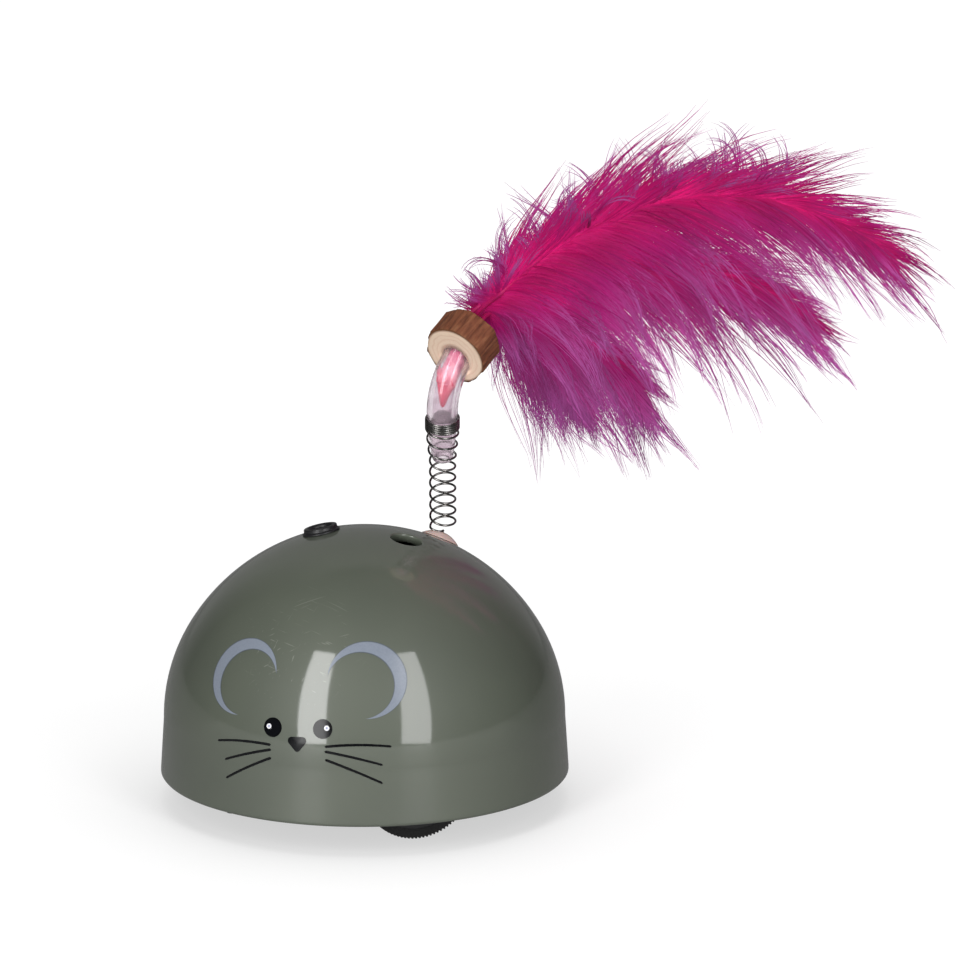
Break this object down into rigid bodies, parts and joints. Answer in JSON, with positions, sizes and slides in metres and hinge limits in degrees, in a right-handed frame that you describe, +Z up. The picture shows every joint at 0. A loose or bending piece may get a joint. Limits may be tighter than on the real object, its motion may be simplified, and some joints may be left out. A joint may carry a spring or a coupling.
{
  "type": "robotic mouse cat toy",
  "caption": "Domed mouse-face cat toy that drives itself on a pair of geared wheels and waves a feather plume on a coil spring.",
  "frame": {"origin": "middle of the flat underside, on the dome's axis; the floor is 4.5 mm lower, under the wheels", "axes": "+Z up along the dome's axis, -Y towards the side with the face, +X towards the mouse's left"},
  "size_m": [0.1798, 0.1386, 0.1591],
  "materials": {
    "shell_plastic": "glossy olive grey ABS",
    "ear_ink": "printed silver-lavender ink",
    "black_ink": "printed black ink",
    "white_ink": "printed white ink",
    "black_plastic": "satin black ABS",
    "plug_plastic": "pale pink soft plastic",
    "steel": "bright drawn wire and screws",
    "clear_vinyl": "translucent flexible vinyl",
    "wood": "raw branch wood with bark",
    "feather": "dyed magenta marabou down",
    "cell_wrap": "plain printed wrap",
    "contact_metal": "nickel plate",
    "board": "glass-fibre board, green mask",
    "gear_plastic": "natural acetal",
    "motor_metal": "drawn steel can",
    "brass": "turned brass",
    "tyre_rubber": "black moulded rubber"
  },
  "bodies": {
    "housing": {"dome_shell": "shell_plastic", "face_ears": "ear_ink", "face_features": "black_ink", "eye_spots": "white_ink", "switch_bezel": "black_plastic", "switch_nut": "black_plastic", "spring_plug": "plug_plastic", "base_plate": "black_plastic", "base_screws": "steel", "battery_door": "black_plastic", "battery_door_screw": "steel", "battery_cells": "cell_wrap", "battery_contacts": "contact_metal", "control_board": "board", "board_parts": "black_plastic", "board_screws": "steel", "left_gear_frame": "gear_plastic", "left_frame_screws": "steel", "left_motor": "motor_metal", "left_motor_screws": "steel", "left_gear_pins": "steel", "right_gear_frame": "gear_plastic", "right_frame_screws": "steel", "right_motor": "motor_metal", "right_motor_screws": "steel", "right_gear_pins": "steel"},
    "left_wheel": {"left_axle": "steel", "left_wheel_gear": "gear_plastic", "left_wheel_hub": "black_plastic", "left_tyre": "tyre_rubber"},
    "left_second": {"left_second_gear": "gear_plastic"},
    "left_first": {"left_first_gear": "gear_plastic"},
    "left_rotor": {"left_rotor_shaft": "steel", "left_pinion": "brass"},
    "right_wheel": {"right_axle": "steel", "right_wheel_gear": "gear_plastic", "right_wheel_hub": "black_plastic", "right_tyre": "tyre_rubber"},
    "right_second": {"right_second_gear": "gear_plastic"},
    "right_first": {"right_first_gear": "gear_plastic"},
    "right_rotor": {"right_rotor_shaft": "steel", "right_pinion": "brass"},
    "button": {"power_button": "black_plastic"},
    "spring": {"feather_spring": "steel"},
    "wand": {"spring_tube": "clear_vinyl", "wood_disc": "wood", "feather_long": "feather", "feather_middle": "feather", "feather_low": "feather", "feather_short": "feather"}
  },
  "joints": [
    {"name": "left_wheel_spin", "type": "hinge", "parent": "housing", "child": "left_wheel", "pos_m": [0.02185, -0.02605, 0.01], "axis": [0.6428, -0.766, 0], "continuous": true},
    {"name": "left_second_spin", "type": "hinge", "parent": "housing", "child": "left_second", "pos_m": [0.02107, -0.0143, 0.01719], "axis": [0.6428, -0.766, 0], "continuous": true},
    {"name": "left_first_spin", "type": "hinge", "parent": "housing", "child": "left_first", "pos_m": [0.01165, -0.01894, 0.02131], "axis": [0.6428, -0.766, 0], "continuous": true},
    {"name": "left_rotor_spin", "type": "hinge", "parent": "housing", "child": "left_rotor", "pos_m": [0.00164, -0.02473, 0.0229], "axis": [0.6428, -0.766, 0], "continuous": true},
    {"name": "right_wheel_spin", "type": "hinge", "parent": "housing", "child": "right_wheel", "pos_m": [-0.02185, 0.02605, 0.01], "axis": [-0.6428, 0.766, 0], "continuous": true},
    {"name": "right_second_spin", "type": "hinge", "parent": "housing", "child": "right_second", "pos_m": [-0.02107, 0.0143, 0.01719], "axis": [-0.6428, 0.766, 0], "continuous": true},
    {"name": "right_first_spin", "type": "hinge", "parent": "housing", "child": "right_first", "pos_m": [-0.01165, 0.01894, 0.02131], "axis": [-0.6428, 0.766, 0], "continuous": true},
    {"name": "right_rotor_spin", "type": "hinge", "parent": "housing", "child": "right_rotor", "pos_m": [-0.00164, 0.02473, 0.0229], "axis": [-0.6428, 0.766, 0], "continuous": true},
    {"name": "button_press", "type": "slide", "parent": "housing", "child": "button", "axis": [0.2198, 0, -0.9755], "range_m": [0, 0.001], "stiffness_N_per_m": 400, "springref_m": -0.001},
    {"name": "sway_side", "type": "hinge", "parent": "housing", "child": "spring", "pos_m": [0.01399, 0.01841, 0.06614], "axis": [-0.2982, 0.8911, 0.342], "range_deg": [-25, 25], "stiffness_Nm_per_rad": 0.06, "springref_deg": -2.84, "deforming": ["feather_spring"]},
    {"name": "sway_fore", "type": "hinge", "parent": "spring", "child": "wand", "pos_m": [0.01503, 0.0153, 0.07516], "axis": [0.9483, 0.3173, 0], "range_deg": [-25, 25], "stiffness_Nm_per_rad": 0.06, "springref_deg": 0.79, "deforming": ["feather_spring"]}
  ],
  "couplings": [
    {"joint": "left_second_spin", "follows": "left_wheel_spin", "ratio": -2.3333},
    {"joint": "left_first_spin", "follows": "left_wheel_spin", "ratio": 6.2222},
    {"joint": "left_rotor_spin", "follows": "left_wheel_spin", "ratio": -17.63},
    {"joint": "right_second_spin", "follows": "right_wheel_spin", "ratio": -2.3333},
    {"joint": "right_first_spin", "follows": "right_wheel_spin", "ratio": 6.2222},
    {"joint": "right_rotor_spin", "follows": "right_wheel_spin", "ratio": -17.63}
  ]
}
